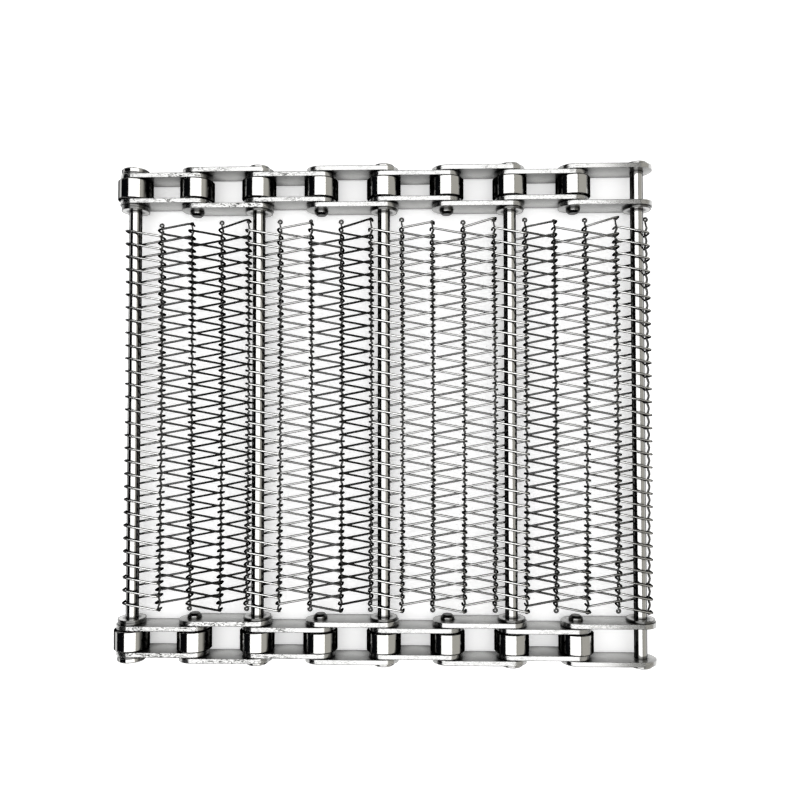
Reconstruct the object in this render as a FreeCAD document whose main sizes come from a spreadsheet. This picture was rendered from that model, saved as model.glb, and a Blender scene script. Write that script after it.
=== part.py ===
import FreeCAD, Part

import math
import os

import Sketcher

# Wire mesh conveyor belt: a woven steel mesh carried on cross rods between two roller chains.
# It lies flat on its rollers. X runs along the belt, Y across it, Z is up, and the origin is
# the middle of the underside. Sizes are in millimetres.

doc = FreeCAD.newDocument("WireMeshConveyorBelt")
sheet = doc.addObject("Spreadsheet::Sheet", "Sizes")

# Driving dimensions, each with what it measures
SIZES = [
    ("chain_pitch", 50.8, "pin to pin along the chain"),
    ("chain_centres", 361.4, "across the belt, between the middles of the two chains"),
    ("plate_height", 24.0, "link plate, across its straight sides"),
    ("inner_plate_thickness", 3.6, "plates pressed on the bushes"),
    ("outer_plate_thickness", 3.7, "plates pressed on the pins and rods"),
    ("inner_plate_gap", 16.9, "between the two inner plates of a link"),
    ("link_side_gap", 0.65, "play between an inner and an outer plate"),
    ("roller_diameter", 27.5, "carrier roller"),
    ("roller_play", 0.45, "between a roller and the inner plate on each side of it"),
    ("roller_edge", 0.7, "bevel on the roller's rim"),
    ("roller_clearance", 0.08, "roller bore over bush, on the radius"),
    ("bush_diameter", 15.0, "outside of the bush"),
    ("pin_clearance", 0.06, "bush bore over pin or rod, on the radius"),
    ("short_pin_diameter", 11.1, "pins that don't cross the belt"),
    ("short_pin_stand", 4.0, "how far a short pin stands out towards the mesh"),
    ("short_pin_bevel", 1.8, "bevel on the end of a short pin"),
    ("rod_diameter", 10.0, "cross rods"),
    ("rod_head_diameter", 17.6, "spun head on the end of a rod"),
    ("rod_head_thickness", 3.0, "spun head on the end of a rod"),
    ("rod_head_edge", 0.8, "bevel round a spun head"),
    ("end_head_diameter", 22.0, "head of the rod at the open inner link"),
    ("end_head_thickness", 3.4, "head of the rod at the open inner link"),
    ("washer_diameter", 22.0, "washers on the cross rods"),
    ("washer_thickness", 2.0, "washers on the cross rods"),
    ("washer_gap", 0.15, "between two washers side by side"),
    ("wire_diameter", 1.6, "wire of the mesh, the same for spirals and connecting wires"),
    ("coil_pitch", 10.35, "one turn of a spiral, across the belt"),
    ("rod_play", 0.4, "between a cross rod and the wires over and under it"),
    ("rod_gap", 0.3, "between the first and last rods and the wires that hook round them"),
    ("eye_play", 0.25, "between a connecting wire and the bend of a spiral round it"),
    ("wire_end_gap", 2.9, "from the connecting wires' ends to the short pins, on average"),
    ("mesh_offset", -2.0, "how far the mesh has slid along Y from the middle"),
]
PITCHES = 8
SPIRALS = 17

for row, (alias, value, meaning) in enumerate(SIZES, start=1):
    sheet.set(f"A{row}", alias)
    sheet.set(f"B{row}", f"{value}")
    sheet.set(f"C{row}", meaning)
    sheet.setAlias(f"B{row}", alias)
doc.recompute()


def size(alias):
    return float(sheet.get(alias))


def in_sizes(formula):
    """Point each size's name in a formula at the sheet."""
    words = formula.replace("(", "( ").replace(")", " )").split()
    names = {alias for alias, value, meaning in SIZES}
    return " ".join(f"Sizes.{word}" if word in names else word for word in words)


def sheet_value(formula):
    """Work a formula of the sheet's sizes out to a number, through a spare cell."""
    sheet.set("E1", "=" + in_sizes(formula).replace("Sizes.", ""))
    sheet.recompute()
    value = float(sheet.get("E1"))
    sheet.clear("E1")
    return value


# Where things are across a chain, from its middle: + is away from the mesh
INNER_PLATE_AT = "(inner_plate_gap + inner_plate_thickness) / 2"
INNER_PLATE_FACE = "(inner_plate_gap / 2 + inner_plate_thickness)"
OUTER_PLATE_BACK = f"({INNER_PLATE_FACE} + link_side_gap)"
OUTER_PLATE_AT = f"({OUTER_PLATE_BACK} + outer_plate_thickness / 2)"
OUTER_PLATE_FACE = f"({OUTER_PLATE_BACK} + outer_plate_thickness)"
CHAIN_AT = "chain_centres / 2"
AXLE_HEIGHT = "roller_diameter / 2"
# The box of the belt runs from the first roller's rim to the last plate's end, so that the
# middle pin is half their difference away from the origin
FIRST_PIN_AT = f"(({AXLE_HEIGHT} - plate_height / 2) / 2 - chain_pitch * {PITCHES} / 2)"


def new_body(name):
    return doc.addObject("PartDesign::Body", name)


def new_sketch(body, name, role):
    """A sketch on one of the body's own origin planes."""
    sketch = body.newObject("Sketcher::SketchObject", name)
    plane = next(part for part in body.Origin.OriginFeatures if part.Role == role)
    sketch.AttachmentSupport = [(plane, "")]
    sketch.MapMode = "FlatFace"
    return sketch


def constrain(sketch, formula, *constraint):
    """Add a dimension to a sketch and bind it to the sheet."""
    index = sketch.addConstraint(Sketcher.Constraint(*constraint))
    sketch.setExpression(f"Constraints[{index}]", in_sizes(formula))


def round_hole(sketch, geometry, point, x, formula):
    """A circle about a point of the sketch, its diameter bound to the sheet."""
    diameter = sheet_value(formula)
    circle = Part.Circle(FreeCAD.Vector(x, 0, 0), FreeCAD.Vector(0, 0, 1), diameter / 2)
    drawn = sketch.addGeometry(circle, False)
    sketch.addConstraint(Sketcher.Constraint("Coincident", drawn, 3, geometry, point))
    constrain(sketch, formula, "Diameter", drawn, diameter)


def pad_both_ways(body, sketch, formula):
    pad = body.newObject("PartDesign::Pad", f"{body.Name}Pad")
    pad.Profile = sketch
    pad.Midplane = True
    pad.setExpression("Length", in_sizes(formula))


def link_plate(name, thickness, near_hole, far_hole):
    """A round-ended plate with a hole at each pin, standing in the XZ plane, centred on Y."""
    body = new_body(name)
    sketch = new_sketch(body, f"{name}Outline", "XZ_Plane")
    half, pitch = size("plate_height") / 2, size("chain_pitch")
    up = FreeCAD.Vector(0, 0, 1)
    near = Part.Circle(FreeCAD.Vector(0, 0, 0), up, half)
    far = Part.Circle(FreeCAD.Vector(pitch, 0, 0), up, half)
    quarter = math.pi / 2
    sketch.addGeometry([
        Part.ArcOfCircle(near, quarter, 3 * quarter),
        Part.LineSegment(FreeCAD.Vector(0, -half, 0), FreeCAD.Vector(pitch, -half, 0)),
        Part.ArcOfCircle(far, -quarter, quarter),
        Part.LineSegment(FreeCAD.Vector(pitch, half, 0), FreeCAD.Vector(0, half, 0)),
    ], False)
    sketch.addConstraint([
        Sketcher.Constraint("Coincident", 0, 3, -1, 1),
        Sketcher.Constraint("PointOnObject", 2, 3, -1),
        Sketcher.Constraint("Tangent", 0, 2, 1, 1),
        Sketcher.Constraint("Tangent", 1, 2, 2, 1),
        Sketcher.Constraint("Tangent", 2, 2, 3, 1),
        Sketcher.Constraint("Tangent", 3, 2, 0, 1),
        Sketcher.Constraint("Equal", 0, 2),
    ])
    constrain(sketch, "plate_height / 2", "Radius", 0, half)
    constrain(sketch, "chain_pitch", "DistanceX", 0, 3, 2, 3, pitch)
    round_hole(sketch, 0, 3, 0, near_hole)
    round_hole(sketch, 2, 3, pitch, far_hole)
    pad_both_ways(body, sketch, thickness)
    return body


def ring(name, outside, bore, length):
    """A plain ring about the Y axis, centred on Y; outside and bore are diameters."""
    body = new_body(name)
    sketch = new_sketch(body, f"{name}Section", "XZ_Plane")
    round_hole(sketch, -1, 1, 0, outside)
    round_hole(sketch, -1, 1, 0, bore)
    pad_both_ways(body, sketch, length)
    return body


def turned(name, corners):
    """A solid turned about the Y axis, from the corners of its half section.

    Each corner is a radius and a place along Y, both formulas of the sheet's sizes."""
    body = new_body(name)
    sketch = new_sketch(body, f"{name}HalfSection", "XY_Plane")
    spots = [FreeCAD.Vector(sheet_value(radius), sheet_value(along), 0) for radius, along in corners]
    for here, there in zip(spots, spots[1:] + spots[:1]):
        sketch.addGeometry(Part.LineSegment(here, there), False)
    count = len(corners)
    for line in range(count):
        sketch.addConstraint(Sketcher.Constraint("Coincident", line, 2, (line + 1) % count, 1))
    for line, (radius, along) in enumerate(corners):
        if radius == "0":
            sketch.addConstraint(Sketcher.Constraint("PointOnObject", line, 1, -2))
        else:
            constrain(sketch, radius, "DistanceX", -1, 1, line, 1, spots[line].x)
        constrain(sketch, along, "DistanceY", -1, 1, line, 1, spots[line].y)
    turn = body.newObject("PartDesign::Revolution", f"{name}Turn")
    turn.Profile = sketch
    turn.ReferenceAxis = (sketch, ["V_Axis"])
    turn.Angle = 360.0
    return body


# Link plates. The near hole of each is at the lower X
inner_plate = link_plate("InnerPlate", "inner_plate_thickness", "bush_diameter", "bush_diameter")
outer_plate = link_plate("OuterPlate", "outer_plate_thickness", "short_pin_diameter", "rod_diameter")

# Bushes, pressed into both inner plates and flush with them
BUSH_LENGTH = "inner_plate_gap + inner_plate_thickness * 2"
rod_bush = ring("RodBush", "bush_diameter", "rod_diameter + pin_clearance * 2", BUSH_LENGTH)
pin_bush = ring("PinBush", "bush_diameter", "short_pin_diameter + pin_clearance * 2", BUSH_LENGTH)

# Roller, bevelled at both rims
ROLLER_BORE = "bush_diameter / 2 + roller_clearance"
ROLLER_SIDE = "(inner_plate_gap / 2 - roller_play)"
roller = turned("Roller", [
    (ROLLER_BORE, f"0 - {ROLLER_SIDE}"),
    ("roller_diameter / 2 - roller_edge", f"0 - {ROLLER_SIDE}"),
    ("roller_diameter / 2", f"roller_edge - {ROLLER_SIDE}"),
    ("roller_diameter / 2", f"{ROLLER_SIDE} - roller_edge"),
    ("roller_diameter / 2 - roller_edge", ROLLER_SIDE),
    (ROLLER_BORE, ROLLER_SIDE),
])

# Short pin, flush with the plate outside and standing out bevelled towards the mesh
PIN_TIP = f"0 - {OUTER_PLATE_FACE} - short_pin_stand"
short_pin = turned("ShortPin", [
    ("0", PIN_TIP),
    ("short_pin_diameter / 2 - short_pin_bevel", PIN_TIP),
    ("short_pin_diameter / 2", f"{PIN_TIP} + short_pin_bevel"),
    ("short_pin_diameter / 2", OUTER_PLATE_FACE),
    ("0", OUTER_PLATE_FACE),
])


def cross_rod(name, head_seat, head_diameter, head_thickness):
    """A rod right across the belt with a head outside each chain."""
    seat = f"{CHAIN_AT} + {head_seat}"
    head = f"{head_diameter} / 2"
    end = f"{seat} + {head_thickness}"
    half = [
        ("rod_diameter / 2", seat),
        (head, seat),
        (head, f"{end} - rod_head_edge"),
        (f"{head} - rod_head_edge", end),
        ("0", end),
    ]
    other_half = [(radius, f"0 - ({along})") for radius, along in reversed(half)]
    return turned(name, other_half + half)


joint_rod = cross_rod("JointRod", OUTER_PLATE_FACE, "rod_head_diameter", "rod_head_thickness")
END_HEAD_SEAT = f"({INNER_PLATE_FACE} + washer_thickness)"
end_rod = cross_rod("EndRod", END_HEAD_SEAT, "end_head_diameter", "end_head_thickness")
washer = ring("Washer", "washer_diameter", "rod_diameter", "washer_thickness")

nodes = []


def node(label, copies, pin):
    """One node: copies of a body, each at a place across the belt, on the axle of one pin.

    A copy's place is a formula of its distance outwards from the middle of its chain. Each
    copy stands on both chains, turned over for the one at -Y, unless it is None: the piece
    then reaches right across the belt and is used once."""
    pieces = []
    for body, pins_on, outwards in copies:
        for side in ((1,) if outwards is None else (1, -1)):
            piece = doc.addObject("App::Link", f"{label}_copy")
            piece.LinkedObject = body
            piece.setExpression("Placement.Base.x", in_sizes(f"chain_pitch * {pins_on}"))
            if outwards is not None:
                away = in_sizes(f"({CHAIN_AT} + {outwards}) * {side}")
                piece.setExpression("Placement.Base.y", away)
            if side < 0:
                piece.Placement.Rotation = FreeCAD.Rotation(FreeCAD.Vector(1, 0, 0), 180)
            pieces.append(piece)
    group = doc.addObject("Part::Compound", label)
    group.Label = label
    group.Links = pieces
    group.setExpression("Placement.Base.x", in_sizes(f"{FIRST_PIN_AT} + chain_pitch * {pin}"))
    group.setExpression("Placement.Base.z", in_sizes(AXLE_HEIGHT))
    nodes.append(group)


# The chains. Link 1 is an inner link from pin 0 to pin 1, link 2 an outer one to pin 2, and
# so on. Rods are the pins 0, 2, 4 and so on, and short pins the ones between
for link in range(1, PITCHES + 1, 2):
    near_pin = link - 1
    node(f"inner_plates_{link}", [
        (inner_plate, 0, INNER_PLATE_AT),
        (inner_plate, 0, f"0 - {INNER_PLATE_AT}"),
    ], near_pin)
    node(f"bushes_{link}", [(rod_bush, 0, "0"), (pin_bush, 1, "0")], near_pin)

for link in range(2, PITCHES + 1, 2):
    near_pin = link - 1
    node(f"outer_plates_{link}", [
        (outer_plate, 0, OUTER_PLATE_AT),
        (outer_plate, 0, f"0 - {OUTER_PLATE_AT}"),
    ], near_pin)
    node(f"short_pins_{link}", [(short_pin, 0, "0")], near_pin)
    node(f"cross_rod_{link}", [(joint_rod, 1, None)], near_pin)
    node(f"rod_washers_{link}", [
        (washer, 1, f"0 - {OUTER_PLATE_FACE} - washer_thickness / 2"),
    ], near_pin)

node("cross_rod_1", [(end_rod, 0, None)], 0)
node("rod_washers_1", [
    (washer, 0, f"{INNER_PLATE_FACE} + washer_thickness / 2"),
    (washer, 0, f"0 - {INNER_PLATE_FACE} - washer_thickness / 2"),
    (washer, 0, f"0 - {INNER_PLATE_FACE} - washer_thickness * 1.5 - washer_gap"),
], 0)

for pin in range(PITCHES):
    for side_name, side in (("left", 1), ("right", -1)):
        wheel = doc.addObject("App::Link", f"roller_{side_name}_copy")
        wheel.LinkedObject = roller
        wheel.setExpression("Placement.Base.y", in_sizes(f"{CHAIN_AT} * {side}"))
        group = doc.addObject("Part::Compound", f"roller_{side_name}_{pin + 1}")
        group.Label = group.Name
        group.Links = [wheel]
        group.setExpression("Placement.Base.x", in_sizes(f"{FIRST_PIN_AT} + chain_pitch * {pin}"))
        group.setExpression("Placement.Base.z", in_sizes(AXLE_HEIGHT))
        nodes.append(group)


# The woven mesh. Each spiral is a flattened coil of wire, left-hand and right-hand in turn,
# hooked into its neighbours round a connecting wire. The wire is drawn three-sided, with its
# flat side out of the coil and mitred at every bend. The first spiral goes round the first
# rod and the last connecting wire lies just past the last rod, which sets the weave's pitch
EYE_REACH = "(wire_diameter + eye_play)"
ROD_SIDE = "(rod_diameter / 2 + rod_gap + wire_diameter / 2)"
WEAVE_START = f"({EYE_REACH} - {ROD_SIDE})"
WEAVE_PITCH = f"((chain_pitch * {PITCHES} + {ROD_SIDE} - {WEAVE_START}) / {SPIRALS})"
WIRE_END = f"({CHAIN_AT} - {OUTER_PLATE_FACE} - short_pin_stand - wire_end_gap)"
eye_reach = sheet_value(EYE_REACH)
weave_start = sheet_value(WEAVE_START)
weave_pitch = sheet_value(WEAVE_PITCH)
wire_end = sheet_value(WIRE_END)
coil_turns = int(2 * wire_end / size("coil_pitch"))


def bend(at, outwards_x, outwards_z, slope):
    """The wire's three corners where it bends: two on its outer side and one on its inner.

    slope is how far the level run at this bend moves along Y for each millimetre along X."""
    half = size("wire_diameter") / 2
    side = size("wire_diameter") / math.sqrt(3) * math.hypot(1, slope)
    outer = FreeCAD.Vector(outwards_x * half, outwards_x * half * slope, outwards_z * half)
    across = FreeCAD.Vector(0, side, 0)
    return [at + outer - across, at + outer + across, at - outer]


def flat_faces(a, b, c, d):
    """A face on four corners, or two where they don't lie in one plane."""
    if abs((b - a).cross(c - a).dot(d - a)) < 1e-6:
        return [Part.Face(Part.makePolygon([a, b, c, d, a]))]
    return [Part.Face(Part.makePolygon(loop)) for loop in ([a, b, c, a], [a, c, d, a])]


def solid_through(rings):
    """One solid whose sides run from each ring of three corners to the next."""
    faces = [Part.Face(Part.makePolygon(end + end[:1])) for end in (rings[0], rings[-1])]
    for here, there in zip(rings, rings[1:]):
        for corner in range(3):
            following = (corner + 1) % 3
            faces += flat_faces(here[corner], here[following], there[following], there[corner])
    solid = Part.Solid(Part.Shell(faces))
    if solid.Volume < 0:
        solid.reverse()
    return solid


def spiral(hand):
    """One flattened coil from a connecting wire at x = 0 to the next, about z = 0.

    hand is -1 where the upper wires run towards -Y as they cross to +X, and 1 where they run
    towards +Y."""
    near = -eye_reach
    far = weave_pitch + eye_reach
    top = size("rod_diameter") / 2 + size("rod_play") + size("wire_diameter") / 2
    step = size("coil_pitch")
    slope = hand * step / 2 / (far - near)
    start = -hand * step * (coil_turns - 1) / 2
    rings = []
    for turn in range(coil_turns):
        here = start + hand * step * turn
        across = here + hand * step / 2
        rings.append(bend(FreeCAD.Vector(near, here, -top), -1, -1, -slope))
        rings.append(bend(FreeCAD.Vector(near, here, top), -1, 1, slope))
        rings.append(bend(FreeCAD.Vector(far, across, top), 1, 1, slope))
        rings.append(bend(FreeCAD.Vector(far, across, -top), 1, -1, -slope))
    return solid_through(rings)


def connecting_wire():
    """A straight square bar at x = 0 for the crimped wire that joins two spirals."""
    wide = size("wire_diameter")
    corner = FreeCAD.Vector(-wide / 2, -wire_end, -wide / 2)
    return Part.makeBox(wide, 2 * wire_end, wide, corner)


def weave_node(label, shapes, first):
    """A node of like wires a weave pitch apart, the first of them so many pitches along."""
    row = []
    for number, shape in enumerate(shapes):
        wire = shape.copy()
        wire.translate(FreeCAD.Vector(weave_pitch * number, 0, 0))
        row.append(wire)
    part = doc.addObject("Part::Feature", label)
    part.Label = label
    part.Shape = Part.makeCompound(row)
    place = f"{FIRST_PIN_AT} + {WEAVE_START} + {WEAVE_PITCH} * {first}"
    part.setExpression("Placement.Base.x", in_sizes(place))
    part.setExpression("Placement.Base.y", in_sizes("mesh_offset"))
    part.setExpression("Placement.Base.z", in_sizes(AXLE_HEIGHT))
    nodes.append(part)


def on_link(link, weaves):
    """Which of the weave's wires lie over a link, each so many weave pitches along."""
    pitch = size("chain_pitch")
    over = [min(int((weave_start + weave_pitch * at) / pitch) + 1, PITCHES) for at in weaves]
    return [number for number, lies_over in enumerate(over) if lies_over == link]


# Every wire goes with the link that it lies over, a spiral by its middle, so that at each
# hinge a spiral is hooked round a wire of the next link, or a wire of its own link is hooked
# into the next link's spiral
odd_spiral, even_spiral, straight_wire = spiral(-1), spiral(1), connecting_wire()
for link in range(1, PITCHES + 1):
    spirals = on_link(link, [number + 0.5 for number in range(SPIRALS)])
    coils = [even_spiral if number % 2 else odd_spiral for number in spirals]
    weave_node(f"mesh_spirals_{link}", coils, spirals[0])
    wires = on_link(link, [number + 1 for number in range(SPIRALS)])
    weave_node(f"connecting_wires_{link}", [straight_wire] * len(wires), wires[0] + 1)

doc.recompute()

for item in doc.Objects:
    if "Invalid" in item.State or "Error" in item.State:
        raise RuntimeError(f"{item.Name} failed: {item.State}")
for part in nodes:
    if part.Shape.isNull() or not part.Shape.isValid():
        raise RuntimeError(f"{part.Label} has no valid shape")

os.makedirs("parts", exist_ok=True)
for part in nodes:
    part.Shape.exportStep(f"parts/{part.Label}.step")
print(len(nodes), "nodes written")
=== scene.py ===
# A stretch of wire mesh conveyor belt in stainless steel. Flattened wire spirals, joined by
# crimped connecting wires, hang on round rods between two roller chains, and every plate,
# roller and wire turns and bends with the links that carry it.
import math
import bpy
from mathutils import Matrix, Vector


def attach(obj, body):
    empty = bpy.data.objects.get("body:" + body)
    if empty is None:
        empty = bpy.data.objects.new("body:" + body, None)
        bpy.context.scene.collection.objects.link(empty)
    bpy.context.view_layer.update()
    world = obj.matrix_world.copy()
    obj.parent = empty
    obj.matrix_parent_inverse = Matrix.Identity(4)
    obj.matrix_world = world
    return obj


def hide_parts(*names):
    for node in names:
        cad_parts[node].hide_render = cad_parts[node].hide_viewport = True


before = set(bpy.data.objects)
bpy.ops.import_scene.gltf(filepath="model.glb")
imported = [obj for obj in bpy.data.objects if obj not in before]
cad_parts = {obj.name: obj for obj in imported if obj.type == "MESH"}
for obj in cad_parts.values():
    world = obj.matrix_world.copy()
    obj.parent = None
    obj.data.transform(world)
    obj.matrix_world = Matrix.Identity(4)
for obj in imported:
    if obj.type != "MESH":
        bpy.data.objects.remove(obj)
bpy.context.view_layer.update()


# Chain plates. Punched from rolled strip: the flat faces are satin with a faint rolling
# grain, and the edges keep the torn bands that the punch leaves. The faces also carry painted
# shade, darker towards the top with a painted contact shadow along the foot, and painted shade
# where parts lie close.
def group(name, inputs, outputs):
    """An empty node group with its named sockets, and its two end nodes."""
    tree = bpy.data.node_groups.new(name, "ShaderNodeTree")
    for label, kind, value in inputs:
        socket = tree.interface.new_socket(label, in_out="INPUT", socket_type=kind)
        if value is not None:
            socket.default_value = value
    for label, kind in outputs:
        tree.interface.new_socket(label, in_out="OUTPUT", socket_type=kind)
    return tree, tree.nodes.new("NodeGroupInput"), tree.nodes.new("NodeGroupOutput")


def add(tree, kind, **settings):
    """A new node with some of its settings, then its sockets by name or number."""
    made = tree.nodes.new(kind)
    sockets = settings.pop("sockets", {})
    for key, value in settings.items():
        setattr(made, key, value)
    for key, value in sockets.items():
        if isinstance(value, bpy.types.NodeSocket):
            tree.links.new(value, made.inputs[key])
        else:
            made.inputs[key].default_value = value
    return made


def use(tree, shared, **sockets):
    """One use of a shared node group."""
    made = tree.nodes.new("ShaderNodeGroup")
    made.node_tree = shared
    for key, value in sockets.items():
        label = key.replace("_", " ")
        if isinstance(value, bpy.types.NodeSocket):
            tree.links.new(value, made.inputs[label])
        else:
            made.inputs[label].default_value = value
    return made


# Grain: fine streaks along one direction, as rolling, drawing or turning leaves them.
grain, given, result = group(
    "grain",
    [("Vector", "NodeSocketVector", None), ("Stretch", "NodeSocketVector", (1, 1, 1)),
     ("Low", "NodeSocketFloat", 0.2), ("High", "NodeSocketFloat", 0.3)],
    [("Streaks", "NodeSocketFloat"), ("Roughness", "NodeSocketFloat")])
along = add(grain, "ShaderNodeVectorMath", operation="MULTIPLY",
            sockets={0: given.outputs["Vector"], 1: given.outputs["Stretch"]})
streaks = add(grain, "ShaderNodeTexNoise",
              sockets={"Vector": along.outputs[0], "Scale": 1.0, "Detail": 3.0})
cloudy = add(grain, "ShaderNodeTexNoise",
             sockets={"Vector": given.outputs["Vector"], "Scale": 60.0, "Detail": 2.0})
both = add(grain, "ShaderNodeMix",
           sockets={0: 0.5, 2: streaks.outputs[0], 3: cloudy.outputs[0]})
level = add(grain, "ShaderNodeMapRange",
            sockets={"Value": both.outputs[0], "From Min": 0.35, "From Max": 0.65,
                     "To Min": given.outputs["Low"], "To Max": given.outputs["High"]})
grain.links.new(streaks.outputs[0], result.inputs["Streaks"])
grain.links.new(level.outputs[0], result.inputs["Roughness"])

# Torn edge: short dark tears in patches along a punched edge.
torn_edge, given, result = group(
    "torn edge", [("Vector", "NodeSocketVector", None)], [("Tears", "NodeSocketFloat")])
drawn_out = add(torn_edge, "ShaderNodeVectorMath", operation="MULTIPLY",
                sockets={0: given.outputs["Vector"], 1: (0.35, 1.0, 0.5)})
fine = add(torn_edge, "ShaderNodeTexNoise",
           sockets={"Vector": drawn_out.outputs[0], "Scale": 850.0, "Detail": 2.0,
                    "Distortion": 1.6})
sharp = add(torn_edge, "ShaderNodeMapRange",
            sockets={"Value": fine.outputs[0], "From Min": 0.5, "From Max": 0.6})
patchy = add(torn_edge, "ShaderNodeTexNoise",
             sockets={"Vector": given.outputs["Vector"], "Scale": 28.0, "Detail": 1.0})
patches = add(torn_edge, "ShaderNodeMapRange",
              sockets={"Value": patchy.outputs[0], "From Min": 0.36, "From Max": 0.52})
tears = add(torn_edge, "ShaderNodeMath", operation="MULTIPLY",
            sockets={0: sharp.outputs[0], 1: patches.outputs[0]})
torn_edge.links.new(tears.outputs[0], result.inputs["Tears"])


# Crevice shade: painted shade that darkens the colour where two parts lie close together, found
# by ambient occlusion.
SHADE_BLACK = (0.015, 0.015, 0.014, 1)
crevice, given, result = group(
    "settled oil", [("Tint", "NodeSocketColor", None), ("Reach", "NodeSocketFloat", 0.007)],
    [("Color", "NodeSocketColor")])
hollow = add(crevice, "ShaderNodeAmbientOcclusion", samples=8,
             sockets={"Distance": given.outputs["Reach"]})
crevice_amount = add(crevice, "ShaderNodeMapRange", interpolation_type="SMOOTHSTEP",
               sockets={"Value": hollow.outputs["AO"], "From Min": 0.85, "From Max": 0.4,
                        "To Max": 0.9})
darkened = add(crevice, "ShaderNodeMix", data_type="RGBA",
               sockets={0: crevice_amount.outputs[0], 6: given.outputs["Tint"], 7: SHADE_BLACK})
crevice.links.new(darkened.outputs[2], result.inputs["Color"])

# Pin ring shade: painted shade as dark rings round each pin, one where it enters and one along a
# washer's rim. The pins, and the mesh, have their middle at one height.
PITCH = 0.0508
FIRST_PIN = -0.202325
MIDDLE = 0.01375
pin_ring_shade, given, result = group(
    "pin rings", [("Vector", "NodeSocketVector", None)], [("Rings", "NodeSocketFloat")])
spot = add(pin_ring_shade, "ShaderNodeSeparateXYZ", sockets={0: given.outputs["Vector"]})
from_first = add(pin_ring_shade, "ShaderNodeMath", operation="SUBTRACT",
                 sockets={0: spot.outputs["X"], 1: FIRST_PIN})
along = add(pin_ring_shade, "ShaderNodeMath", operation="PINGPONG",
            sockets={0: from_first.outputs[0], 1: PITCH / 2})
above = add(pin_ring_shade, "ShaderNodeMath", operation="SUBTRACT",
            sockets={0: spot.outputs["Z"], 1: MIDDLE})
flat = add(pin_ring_shade, "ShaderNodeCombineXYZ", sockets={0: along.outputs[0], 1: above.outputs[0]})
far = add(pin_ring_shade, "ShaderNodeVectorMath", operation="LENGTH", sockets={0: flat.outputs[0]})
inner = add(pin_ring_shade, "ShaderNodeMapRange", interpolation_type="SMOOTHSTEP",
            sockets={"Value": far.outputs["Value"], "From Min": 0.0078, "From Max": 0.0062,
                     "To Max": 0.85})
outer = add(pin_ring_shade, "ShaderNodeMapRange", interpolation_type="SMOOTHSTEP",
            sockets={"Value": far.outputs["Value"], "From Min": 0.0098, "From Max": 0.0105,
                     "To Max": 0.8})
ring_shade = add(pin_ring_shade, "ShaderNodeMath", operation="MAXIMUM",
            sockets={0: inner.outputs[0], 1: outer.outputs[0]})
pin_ring_shade.links.new(ring_shade.outputs[0], result.inputs["Rings"])

# Side shade: painted shade on the wire and on the lower sides of rods and rollers, darker as a
# surface faces away from straight up. The tops are left light, the shade is kept full where a
# coil turns down, and it is deepened along a coil's lower runs.
side_shading, given, result = group(
    "drawing film",
    [("Vector", "NodeSocketVector", None), ("Facing", "NodeSocketVector", None),
     ("Bends", "NodeSocketFloat", 1.0), ("Clear From", "NodeSocketFloat", 0.98),
     ("Dark From", "NodeSocketFloat", 0.84), ("Clear Ends", "NodeSocketFloat", 0.0)],
    [("Darkness", "NodeSocketFloat")])
split = add(side_shading, "ShaderNodeSeparateXYZ", sockets={0: given.outputs["Vector"]})
off_middle = add(side_shading, "ShaderNodeMath", operation="SUBTRACT",
                 sockets={0: split.outputs["Z"], 1: MIDDLE})
reach = add(side_shading, "ShaderNodeMath", operation="ABSOLUTE", sockets={0: off_middle.outputs[0]})
turned = add(side_shading, "ShaderNodeMapRange", interpolation_type="SMOOTHSTEP",
             sockets={"Value": reach.outputs[0], "From Min": 0.0056, "From Max": 0.0046,
                      "To Max": given.outputs["Bends"]})
facing = add(side_shading, "ShaderNodeSeparateXYZ", sockets={0: given.outputs["Facing"]})
sides = add(side_shading, "ShaderNodeMapRange", interpolation_type="SMOOTHSTEP",
            sockets={"Value": facing.outputs["Z"], "From Min": given.outputs["Clear From"],
                     "From Max": given.outputs["Dark From"]})
across = add(side_shading, "ShaderNodeMath", operation="ABSOLUTE", sockets={0: facing.outputs["Y"]})
end_face = add(side_shading, "ShaderNodeMath", operation="GREATER_THAN",
               sockets={0: across.outputs[0], 1: 0.6})
unshaded_ends = add(side_shading, "ShaderNodeMath", operation="MULTIPLY",
            sockets={0: end_face.outputs[0], 1: given.outputs["Clear Ends"]})
side_part = add(side_shading, "ShaderNodeMath", operation="SUBTRACT", use_clamp=True,
              sockets={0: sides.outputs[0], 1: unshaded_ends.outputs[0]})
most_under = add(side_shading, "ShaderNodeMath", operation="MULTIPLY",
                 sockets={0: given.outputs["Bends"], 1: 0.7})
under = add(side_shading, "ShaderNodeMapRange",
            sockets={"Value": off_middle.outputs[0], "From Min": -0.002, "From Max": -0.006,
                     "To Max": most_under.outputs[0]})
wound = add(side_shading, "ShaderNodeMath", operation="MAXIMUM",
            sockets={0: turned.outputs[0], 1: under.outputs[0]})
shade_total = add(side_shading, "ShaderNodeMath", operation="MAXIMUM",
           sockets={0: wound.outputs[0], 1: side_part.outputs[0]})
uneven = add(side_shading, "ShaderNodeTexNoise",
           sockets={"Vector": given.outputs["Vector"], "Scale": 300.0, "Detail": 2.0})
patchy = add(side_shading, "ShaderNodeMapRange",
             sockets={"Value": uneven.outputs[0], "From Min": 0.3, "From Max": 0.6,
                      "To Min": 0.8, "To Max": 0.95})
whole = add(side_shading, "ShaderNodeMath", operation="MULTIPLY",
            sockets={0: shade_total.outputs[0], 1: patchy.outputs[0]})
side_shading.links.new(whole.outputs[0], result.inputs["Darkness"])


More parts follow.
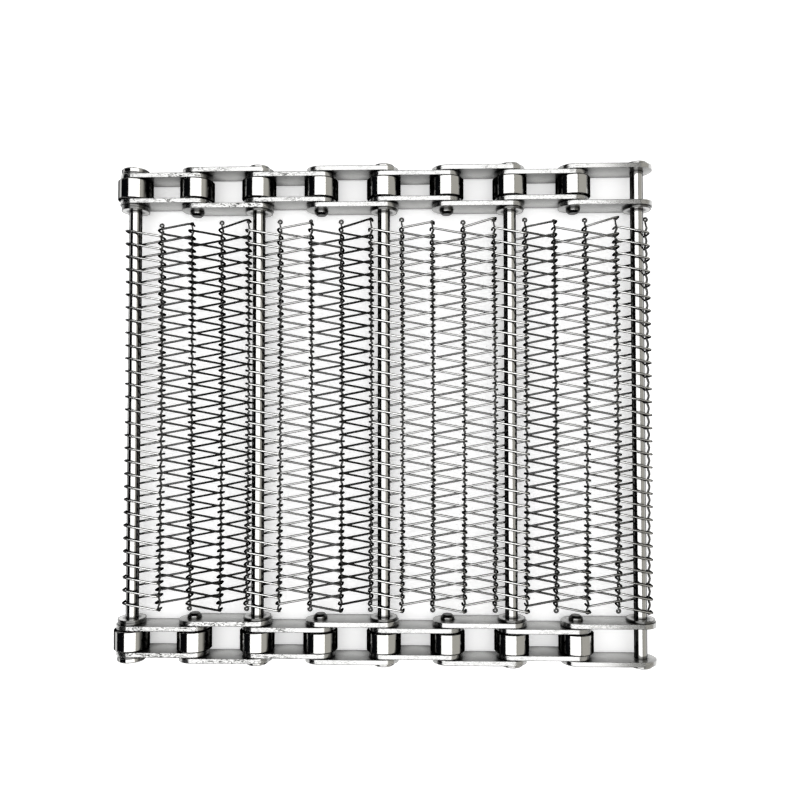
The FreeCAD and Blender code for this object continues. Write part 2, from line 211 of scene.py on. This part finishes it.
def steel(name, bright, dull, stretch, low, high, depth, rim=0.0, torn=False, shading=None,
          edge_radius=0.0007, shade=None, ring_shaded=False):
    """A steel finish: two near colours, grain along one direction and its roughness. Its shading
    says how much painted shade the coil bends take, from which facing to which the painted side
    shade deepens, and whether the faces square to the belt's sides are left unshaded."""
    finish = bpy.data.materials.new(name)
    finish.use_nodes = True
    tree = finish.node_tree
    shader = tree.nodes["Principled BSDF"]
    shader.inputs["Metallic"].default_value = 1.0
    shader.inputs["Specular Tint"].default_value = (rim, rim, rim, 1)
    place = add(tree, "ShaderNodeTexCoord")
    lines = use(tree, grain, Vector=place.outputs["Object"], Stretch=stretch, Low=low, High=high)
    colour = add(tree, "ShaderNodeMix", data_type="RGBA",
                 sockets={0: lines.outputs["Streaks"], 6: bright, 7: dull})
    tint = colour.outputs[2]
    rough = lines.outputs["Roughness"]
    height = lines.outputs["Streaks"]
    # Painted side shade: the colour darkens by facing and by height.
    if shading:
        bends, clear, darkest, unshaded_ends = shading
        dark = use(tree, side_shading, Vector=place.outputs["Object"], Facing=place.outputs["Normal"],
                   Bends=bends, Clear_From=clear, Dark_From=darkest, Clear_Ends=unshaded_ends)
        side_shaded = add(tree, "ShaderNodeMix", data_type="RGBA",
                      sockets={0: dark.outputs["Darkness"], 6: tint, 7: (0.014, 0.014, 0.013, 1)})
        tint = side_shaded.outputs[2]
    if torn:
        split = add(tree, "ShaderNodeSeparateXYZ", sockets={0: place.outputs["Normal"]})
        upright = add(tree, "ShaderNodeMath", operation="ABSOLUTE",
                      sockets={0: split.outputs["Y"]})
        edge = add(tree, "ShaderNodeMath", operation="LESS_THAN",
                   sockets={0: upright.outputs[0], 1: 0.6})
        tears = use(tree, torn_edge, Vector=place.outputs["Object"])
        spot = add(tree, "ShaderNodeSeparateXYZ", sockets={0: place.outputs["Object"]})
        worst = add(tree, "ShaderNodeMapRange", interpolation_type="SMOOTHSTEP",
                    sockets={"Value": spot.outputs["X"], "From Min": -0.09, "From Max": -0.05,
                             "To Min": 1.0, "To Max": 0.35})
        torn_here = add(tree, "ShaderNodeMath", operation="MULTIPLY",
                        sockets={0: tears.outputs["Tears"], 1: worst.outputs[0]})
        here = add(tree, "ShaderNodeMath", operation="MULTIPLY",
                   sockets={0: edge.outputs[0], 1: torn_here.outputs[0]})
        # Painted reflection and shadow on the flat faces: darker towards the top edge for the
        # shaded plate opposite seen in them, and a painted contact shadow along the foot.
        top_shade = add(tree, "ShaderNodeMapRange", interpolation_type="SMOOTHSTEP",
                     sockets={"Value": spot.outputs["Z"], "From Min": 0.008, "From Max": 0.025,
                              "To Max": 0.6})
        foot = add(tree, "ShaderNodeMapRange",
                   sockets={"Value": spot.outputs["Z"], "From Min": 0.004, "From Max": 0.0025,
                            "To Max": 0.75})
        darker = add(tree, "ShaderNodeMath", operation="MAXIMUM",
                     sockets={0: top_shade.outputs[0], 1: foot.outputs[0]})
        shaded = add(tree, "ShaderNodeMix", data_type="RGBA",
                     sockets={0: darker.outputs[0], 6: tint, 7: (0.06, 0.06, 0.058, 1)})
        tint = shaded.outputs[2]
        cut = add(tree, "ShaderNodeMix", data_type="RGBA",
                  sockets={0: edge.outputs[0], 6: tint, 7: (0.4, 0.4, 0.395, 1)})
        uneven = add(tree, "ShaderNodeMix", data_type="RGBA",
                   sockets={0: here.outputs[0], 6: cut.outputs[2], 7: (0.05, 0.05, 0.047, 1)})
        tint = uneven.outputs[2]
        smooth = add(tree, "ShaderNodeMix", sockets={0: edge.outputs[0], 2: rough, 3: 0.16})
        rougher = add(tree, "ShaderNodeMix",
                      sockets={0: here.outputs[0], 2: smooth.outputs[0], 3: 0.5})
        rough = rougher.outputs[0]
        lowered = add(tree, "ShaderNodeMath", operation="SUBTRACT",
                      sockets={0: height, 1: here.outputs[0]})
        height = lowered.outputs[0]
    # Painted shade: dark rings round each pin and along a washer's rim.
    if ring_shaded:
        ring_shade = use(tree, pin_ring_shade, Vector=place.outputs["Object"])
        ring = add(tree, "ShaderNodeMix", data_type="RGBA",
                   sockets={0: ring_shade.outputs["Rings"], 6: tint, 7: SHADE_BLACK})
        tint = ring.outputs[2]
    # Painted crevice shade where parts lie close.
    if shade:
        tint = use(tree, crevice, Tint=tint, Reach=shade).outputs["Color"]
    eased = add(tree, "ShaderNodeBevel", samples=6, sockets={"Radius": edge_radius})
    bump = add(tree, "ShaderNodeBump",
               sockets={"Strength": 0.5, "Distance": depth, "Height": height,
                        "Normal": eased.outputs[0]})
    tree.links.new(tint, shader.inputs["Base Color"])
    tree.links.new(rough, shader.inputs["Roughness"])
    tree.links.new(bump.outputs[0], shader.inputs["Normal"])
    return finish


def dress(names, finish):
    """Gives CAD nodes a finish in all their material slots."""
    for name in names:
        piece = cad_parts[name]
        if not piece.material_slots:
            piece.data.materials.append(finish)
        for place in piece.material_slots:
            place.material = finish


plate_steel = steel("plate_steel", (0.46, 0.46, 0.45, 1), (0.34, 0.34, 0.335, 1),
                    (150, 600, 2500), 0.24, 0.34, 0.00002, rim=1.0, torn=True, edge_radius=0.0009,
                    shade=0.012)
dress([f"inner_plates_{k}" for k in (1, 3, 5, 7)], plate_steel)
dress([f"outer_plates_{k}" for k in (2, 4, 6, 8)], plate_steel)


# Bushes and short pins. Turned and left bright; each pin's chamfered end stands out
# beside the mesh. Their sides carry painted shade, with painted crevice shade where they meet
# other parts.
pin_steel = steel("pin_steel", (0.44, 0.44, 0.435, 1), (0.35, 0.35, 0.345, 1),
                  (300, 3000, 300), 0.14, 0.22, 0.00001, rim=0.7,
                  shading=(0.0, 0.9, 0.75, 0.0), shade=0.006)
dress([f"bushes_{k}" for k in (1, 3, 5, 7)], pin_steel)
dress([f"short_pins_{k}" for k in (2, 4, 6, 8)], pin_steel)


# Rollers. Ground and polished, with only a faint trace of the turning, and painted shade on
# their lower sides and where they lie close to other parts.
roller_steel = steel("roller_steel", (0.46, 0.458, 0.448, 1), (0.42, 0.418, 0.408, 1),
                     (120, 4000, 120), 0.06, 0.11, 0.000004,
                     shading=(0.0, 0.78, 0.62, 0.0), shade=0.003)
dress([f"roller_{side}_{k}" for side in ("left", "right") for k in range(1, 9)], roller_steel)


# Cross rods and their washers. Drawn bright bar with spun heads and painted shade on its
# lower sides, and turned washers with painted shade as dark rings round the rod and along the
# rim. Both take painted crevice shade where parts lie close.
rod_steel = steel("rod_steel", (0.46, 0.458, 0.45, 1), (0.41, 0.408, 0.4, 1),
                  (900, 80, 900), 0.05, 0.1, 0.000004,
                  shading=(0.0, 0.8, 0.6, 1.0), shade=0.004)
dress([f"cross_rod_{k}" for k in (1, 2, 4, 6, 8)], rod_steel)
washer_steel = steel("washer_steel", (0.52, 0.518, 0.51, 1), (0.44, 0.438, 0.43, 1),
                     (700, 900, 700), 0.16, 0.26, 0.00001, rim=1.0, shade=0.009, ring_shaded=True)
dress([f"rod_washers_{k}" for k in (1, 2, 4, 6, 8)], washer_steel)


# Wire spirals. Round drawn wire wound flat, one hand and then the other. Each coil goes
# round the connecting wires at its two ends, and some also go round a cross rod. Those round a
# cross rod get a lighter copy of the wire finish as painted highlight, some others get darker
# copies as painted shade, and all carry painted side shade.
wire_steel = steel("wire_steel", (0.44, 0.44, 0.435, 1), (0.34, 0.34, 0.335, 1),
                   (90, 90, 90), 0.12, 0.22, 0.00001, shading=(1.0, 0.98, 0.84, 0.0))
# Lit and shaded copies of one wire finish: the two darker ones paint shade, the lighter one
# paints highlight.
shaded_wire_steel = steel("shaded_wire_steel", (0.13, 0.13, 0.128, 1), (0.07, 0.07, 0.069, 1),
                        (90, 90, 90), 0.16, 0.28, 0.00001, shading=(1.0, 1.02, 0.9, 0.0))
deep_shaded_wire_steel = steel("deep_shaded_wire_steel", (0.02, 0.02, 0.0197, 1), (0.01, 0.01, 0.0098, 1),
                        (90, 90, 90), 0.2, 0.32, 0.00001, shading=(1.0, 1.1, 0.93, 0.0))
lit_wire_steel = steel("lit_wire_steel", (0.62, 0.62, 0.61, 1), (0.5, 0.5, 0.49, 1),
                        (90, 90, 90), 0.12, 0.22, 0.00001, shading=(1.0, 0.93, 0.72, 0.0))
COIL_LIT_SHADED = {1: lit_wire_steel, 2: shaded_wire_steel, 3: deep_shaded_wire_steel, 4: deep_shaded_wire_steel,
               5: lit_wire_steel, 7: shaded_wire_steel, 8: deep_shaded_wire_steel, 9: lit_wire_steel,
               13: lit_wire_steel, 14: shaded_wire_steel, 17: lit_wire_steel}
WIRE = 0.00175
COIL = 0.01035
COILS = 30
FIRST_COIL = 0.150075
SLID = -0.002
HEIGHT = 0.0062
HIGHER = 0.007
PAST = 0.00145
LINES = (-0.2072, -0.1807, -0.1559, -0.1313, -0.1095, -0.0836, -0.0584, -0.0337, -0.0098,
         0.0153, 0.0399, 0.0649, 0.0896, 0.1146, 0.1379, 0.1626, 0.1870, 0.2109)


def rounded(corners, radius, steps=4):
    """The corners as a line with arcs in them, each no larger than its two runs allow."""
    line = [corners[0]]
    for before, corner, after in zip(corners, corners[1:], corners[2:]):
        back = before - corner
        on = after - corner
        reach = min(radius, back.length * 0.48, on.length * 0.48)
        first = corner + back.normalized() * reach
        last = corner + on.normalized() * reach
        for step in range(steps + 1):
            part = step / steps
            line.append((first * (1 - part) + corner * part) * (1 - part)
                        + (corner * (1 - part) + last * part) * part)
    return line + [corners[-1]]


def wires(name, lines, thick, finishes, body, stands_for):
    """Round wires along the given lines, each in its own finish, as one piece on one link."""
    curve = bpy.data.curves.new(name, "CURVE")
    curve.dimensions = "3D"
    curve.bevel_depth = thick / 2
    curve.bevel_resolution = 2
    curve.use_fill_caps = True
    for place, (line, finish) in enumerate(zip(lines, finishes)):
        curve.materials.append(finish)
        spline = curve.splines.new("POLY")
        spline.points.add(len(line) - 1)
        for point, at in zip(spline.points, line):
            point.co = (*at, 1)
        spline.use_smooth = True
        spline.material_index = place
    piece = bpy.data.objects.new(name, curve)
    bpy.context.scene.collection.objects.link(piece)
    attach(piece, body)
    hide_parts(stands_for)


def bow(y):
    """How far the loose mesh bows to the right, most in the middle of the belt."""
    return 0.0008 * (1 - (y / 0.16) ** 2)


def spiral(number):
    """The line of one spiral, from its first end under the belt to its last. The eleventh,
    where two links hinge, is higher, so that its connecting wire stays free of it when they
    bend. Every fourth one has its last end drawn out towards the left chain."""
    high = HIGHER if number == 11 else HEIGHT
    near = LINES[number - 1] - PAST
    far = LINES[number] + PAST
    hand = -1 if number % 2 else 1
    corners = []
    for turn in range(COILS):
        y = SLID - hand * FIRST_COIL + hand * COIL * turn
        over = y + hand * COIL / 2
        start, end = near + bow(y), far + bow(over)
        corners += [Vector((start, y, MIDDLE - high)), Vector((start, y, MIDDLE + high)),
                    Vector((end, over, MIDDLE + high)), Vector((end, over, MIDDLE - high))]
    corners[0].z = corners[-1].z = MIDDLE - 0.0015
    if number % 4 == 0:
        corners[-2].y += 0.003
        corners[-1].y += 0.003
    return rounded(corners, 0.004)


for link, numbers in {1: (1, 2), 2: (3, 4), 3: (5, 6), 4: (7, 8), 5: (9, 10, 11),
                      6: (12, 13), 7: (14, 15), 8: (16, 17)}.items():
    wires(f"wound_spirals_{link}", [spiral(number) for number in numbers], WIRE,
          [COIL_LIT_SHADED.get(number, wire_steel) for number in numbers],
          f"link_{link}", f"mesh_spirals_{link}")


# Connecting wires. Crimped so that the coils lie in the crimps. One end is closed in a
# small ring and the other is bent over into a knob, turn about, and the heads at the left
# chain stand out by different lengths.
# Near-black: painted shade for the connecting wires, which lie inside the coils.
shaded_crimped_steel = steel("shaded_crimped_steel", (0.08, 0.08, 0.078, 1), (0.04, 0.04, 0.039, 1),
                      (90, 90, 90), 0.2, 0.32, 0.00001)
CRIMPED_WIRE = 0.0018
CRIMP = 0.00105
RING = 0.00135
KNOB = 0.0009
HEADS = (0, 0, 0.0019, 0.0015, 0.0023, 0.0014, 0.0019, 0.0027, 0.0032, 0, 0.0007, 0.001, 0.0023,
         0, 0.0016, 0.0019, 0.0018)


def curled(x, y, out, radius):
    """The end of a connecting wire, curled flat round a point just beyond the last coil."""
    ring = []
    for step in range(11):
        turn = math.radians(-100 + step * 32)
        ring.append(Vector((x + radius * math.cos(turn), y + out * radius * math.sin(turn),
                            MIDDLE)))
    return ring


def crimped(number):
    """The line of one connecting wire. Odd ones end in an open ring at the left chain and a
    tight knob round the last coil at the right one, and even ones the other way round."""
    x = LINES[number]
    line = []
    for crimp in range(2 * COILS):
        y = SLID + FIRST_COIL - COIL / 2 * crimp
        side = CRIMP if crimp % 2 == 0 else -CRIMP
        line.append(Vector((x + side + bow(y), y, MIDDLE)))
    line = rounded(line, 0.002, 2)
    if number % 2:
        head = curled(x, 0.1531 + HEADS[number - 1], 1, RING)
        foot = curled(x, -0.1583, -1, KNOB)
    else:
        head = curled(x, 0.1543 + HEADS[number - 1], 1, KNOB)
        foot = curled(x, -0.1571, -1, RING)
    return head[::-1] + line + foot


for link, numbers in {1: (1, 2), 2: (3, 4), 3: (5, 6), 4: (7, 8), 5: (9, 10), 6: (11, 12),
                      7: (13, 14), 8: (15, 16, 17)}.items():
    wires(f"crimped_wires_{link}", [crimped(number) for number in numbers], CRIMPED_WIRE,
          [shaded_crimped_steel] * len(numbers), f"link_{link}", f"connecting_wires_{link}")


# Floor. A pale matt table that the belt lies on, and that keeps its soft shadow.
bpy.ops.mesh.primitive_plane_add(size=8, location=(0, 0, 0))
floor = bpy.context.object
floor.name = "floor"
table = bpy.data.materials.new("floor")
table.use_nodes = True
shader = table.node_tree.nodes["Principled BSDF"]
shader.inputs["Roughness"].default_value = 0.9
shader.inputs["Specular IOR Level"].default_value = 0.0
place = add(table.node_tree, "ShaderNodeTexCoord")
mottle = add(table.node_tree, "ShaderNodeTexNoise",
             sockets={"Vector": place.outputs["Object"], "Scale": 3.0})
pale = add(table.node_tree, "ShaderNodeMix", data_type="RGBA",
           sockets={0: mottle.outputs[0], 6: (0.93, 0.93, 0.93, 1), 7: (0.91, 0.91, 0.91, 1)})
table.node_tree.links.new(pale.outputs[2], shader.inputs["Base Color"])
path = add(table.node_tree, "ShaderNodeLightPath")
direct = add(table.node_tree, "ShaderNodeMath", operation="MAXIMUM",
             sockets={0: path.outputs["Is Camera Ray"], 1: path.outputs["Is Glossy Ray"]})
shown = add(table.node_tree, "ShaderNodeMath", operation="MAXIMUM",
            sockets={0: direct.outputs[0], 1: path.outputs["Is Transmission Ray"]})
lift = add(table.node_tree, "ShaderNodeMath", operation="MULTIPLY",
           sockets={0: shown.outputs[0], 1: 0.37})
table.node_tree.links.new(lift.outputs[0], shader.inputs["Emission Strength"])
floor.data.materials.append(table)


# Studio light. A soft even light on the floor; the polished steel shows a panel overhead, a
# warm pale wall on the right and darkness elsewhere, with the white backdrop at the horizon.
world = bpy.data.worlds.new("studio")
bpy.context.scene.world = world
world.use_nodes = True
tree = world.node_tree
background = tree.nodes["Background"]
place = add(tree, "ShaderNodeTexCoord")
split = add(tree, "ShaderNodeSeparateXYZ", sockets={0: place.outputs["Generated"]})
to_right = add(tree, "ShaderNodeMapRange", interpolation_type="SMOOTHSTEP",
               sockets={"Value": split.outputs["X"], "From Min": 0.15, "From Max": 0.55})
aside = add(tree, "ShaderNodeMath", operation="ABSOLUTE", sockets={0: split.outputs["Y"]})
to_ends = add(tree, "ShaderNodeMapRange", interpolation_type="SMOOTHSTEP",
              sockets={"Value": aside.outputs[0], "From Min": 0.85, "From Max": 0.6})
wall = add(tree, "ShaderNodeMath", operation="MULTIPLY",
           sockets={0: to_right.outputs[0], 1: to_ends.outputs[0]})
room = add(tree, "ShaderNodeMix", data_type="RGBA",
           sockets={0: wall.outputs[0], 6: (0.004, 0.0045, 0.0055, 1), 7: (0.78, 0.76, 0.7, 1)})
path = add(tree, "ShaderNodeLightPath")
low = add(tree, "ShaderNodeMapRange", interpolation_type="SMOOTHSTEP",
          sockets={"Value": split.outputs["Z"], "From Min": 0.09, "From Max": 0.05})
mirrored = add(tree, "ShaderNodeMath", operation="MAXIMUM",
               sockets={0: path.outputs["Is Glossy Ray"], 1: path.outputs["Is Transmission Ray"]})
behind = add(tree, "ShaderNodeMath", operation="MULTIPLY",
             sockets={0: mirrored.outputs[0], 1: low.outputs[0]})
plain = add(tree, "ShaderNodeMath", operation="MAXIMUM",
            sockets={0: path.outputs["Is Camera Ray"], 1: behind.outputs[0]})
seen = add(tree, "ShaderNodeMix", data_type="RGBA",
           sockets={0: plain.outputs[0], 6: room.outputs[2], 7: (1, 1, 1, 1)})
above = add(tree, "ShaderNodeMapRange", interpolation_type="SMOOTHSTEP",
            sockets={"Value": split.outputs["Z"], "From Min": 0.3, "From Max": 0.8,
                     "To Min": 0.27, "To Max": 1.8})
cast = add(tree, "ShaderNodeMix", data_type="RGBA",
           sockets={0: path.outputs["Is Diffuse Ray"], 6: seen.outputs[2], 7: above.outputs[0]})
tree.links.new(cast.outputs[2], background.inputs["Color"])

bpy.ops.object.light_add(type="AREA", location=(-0.075, 0, 0.6))
softbox = bpy.context.object
softbox.name = "softbox"
softbox.data.shape = "RECTANGLE"
softbox.data.size = 0.85
softbox.data.size_y = 1.0
softbox.data.energy = 4 * 0.85 * 1.0 * 2.2
softbox.visible_diffuse = False
softbox.visible_camera = False
bpy.context.scene.view_settings.view_transform = "Standard"


# Camera. Looks straight down at the belt from just right of its middle.
camera = bpy.data.objects.new("camera", bpy.data.cameras.new("camera"))
bpy.context.scene.collection.objects.link(camera)
camera.location = (0.028355, -0.003765, 0.56615)
camera.rotation_euler = (0.025606, 0.026191, -0.000637)
camera.data.sensor_width = 36
camera.data.lens = 30.893
bpy.context.scene.camera = camera
